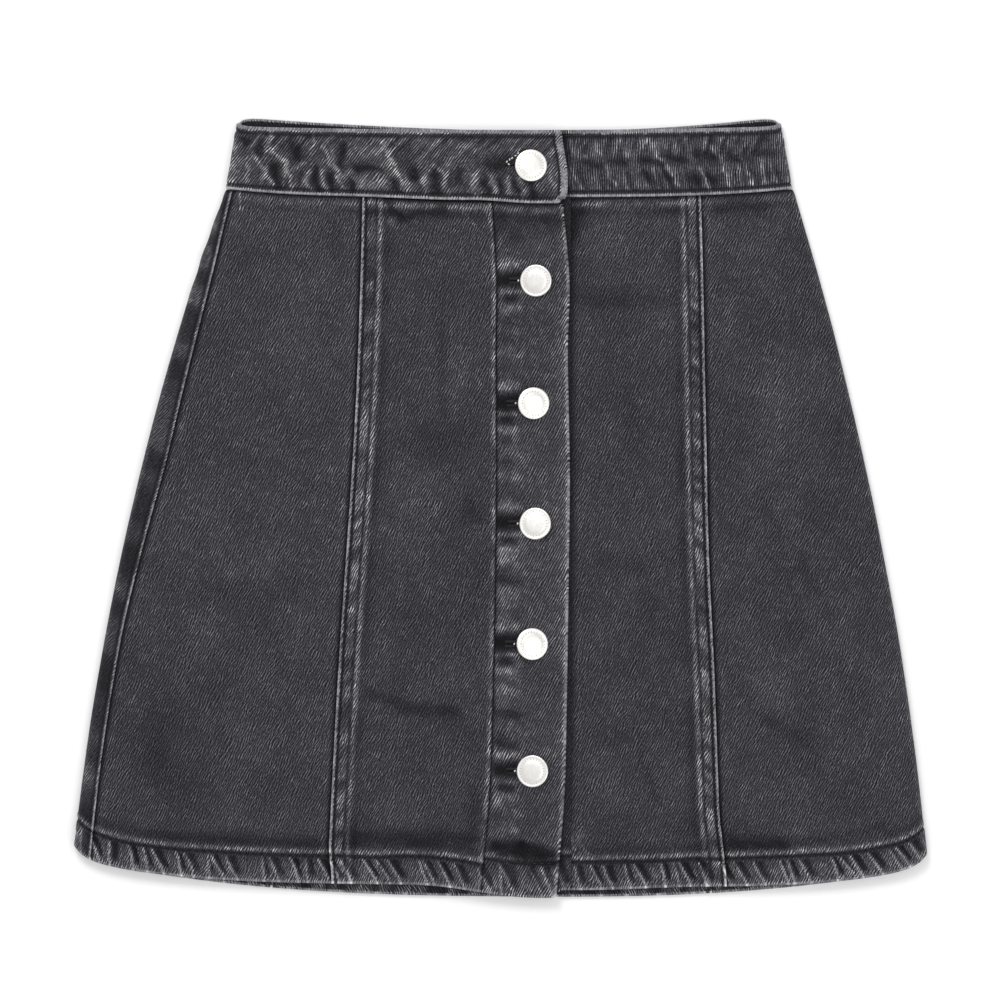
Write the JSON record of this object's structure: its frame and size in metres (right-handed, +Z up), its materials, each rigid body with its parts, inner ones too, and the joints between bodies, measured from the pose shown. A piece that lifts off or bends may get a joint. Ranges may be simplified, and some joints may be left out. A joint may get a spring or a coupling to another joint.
{
  "type": "a-line skirt",
  "caption": "Short a-line denim skirt that buttons all the way up the front, with a waistband, seamed panels and a turned hem, lying flat and fastened.",
  "frame": {"origin": "middle of the skirt's box, on the surface that it lies on", "axes": "+Z up from the surface through the back and the front, +Y from the hem to the waist, +X across to the wearer's left"},
  "size_m": [0.4948, 0.4516, 0.0115],
  "materials": {
    "panel_denim": "matte washed black twill",
    "strip_denim": "matte washed black twill, worn at the edges",
    "waistband_denim": "matte washed black twill, worn on its puckers",
    "button_metal": "satin silver plate",
    "tack_metal": "plain stamped"
  },
  "bodies": {
    "root": {"waistband": "waistband_denim", "front_side_left": "panel_denim", "front_centre_left": "panel_denim", "button_placket": "strip_denim", "button_underlap": "strip_denim", "front_centre_right": "panel_denim", "front_side_right": "panel_denim", "back_side_left": "panel_denim", "back_centre": "panel_denim", "back_side_right": "panel_denim", "button_1": "button_metal", "button_2": "button_metal", "button_3": "button_metal", "button_4": "button_metal", "button_5": "button_metal", "button_6": "button_metal", "tack_1": "tack_metal", "tack_2": "tack_metal", "tack_3": "tack_metal", "tack_4": "tack_metal", "tack_5": "tack_metal", "tack_6": "tack_metal"}
  },
  "joints": []
}
